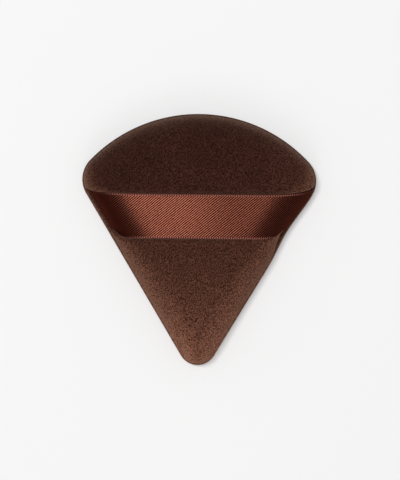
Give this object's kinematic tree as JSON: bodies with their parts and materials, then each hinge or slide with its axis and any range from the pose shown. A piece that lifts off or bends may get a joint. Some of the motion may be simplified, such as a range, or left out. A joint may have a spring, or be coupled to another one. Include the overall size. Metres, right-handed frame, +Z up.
{
  "type": "powder puff",
  "caption": "Soft triangular powder puff with a rounded tip and arched top: velour panels over foam and wadding, with a satin ribbon finger strap lying across a groove in the back.",
  "frame": {"origin": "under the middle of the outline, on the surface that the powder face lies on", "axes": "+Z up out of the ribbon side, +Y from the pointed tip to the arched top, +X to the right seen from the ribbon side"},
  "size_m": [0.0792, 0.085, 0.013],
  "materials": {
    "velour": "short dark brown pile, soft sheen",
    "satin": "reddish brown satin weave, glossy",
    "thread": "dark brown sewing thread",
    "foam": "open-cell foam, cream",
    "wadding": "carded fibre, off-white"
  },
  "bodies": {
    "puff": {"face_velour": "velour", "back_velour": "velour", "face_wadding": "wadding", "foam_core": "foam", "ribbon_tail_left": "satin", "ribbon_tail_right": "satin", "seam_thread": "thread", "closing_stitch": "thread"},
    "strap": {"ribbon_strap": "satin"}
  },
  "joints": [
    {"name": "strap_lift", "type": "slide", "parent": "puff", "child": "strap", "axis": [0, 0, 1], "range_m": [0, 0.008], "stiffness_N_per_m": 60}
  ]
}
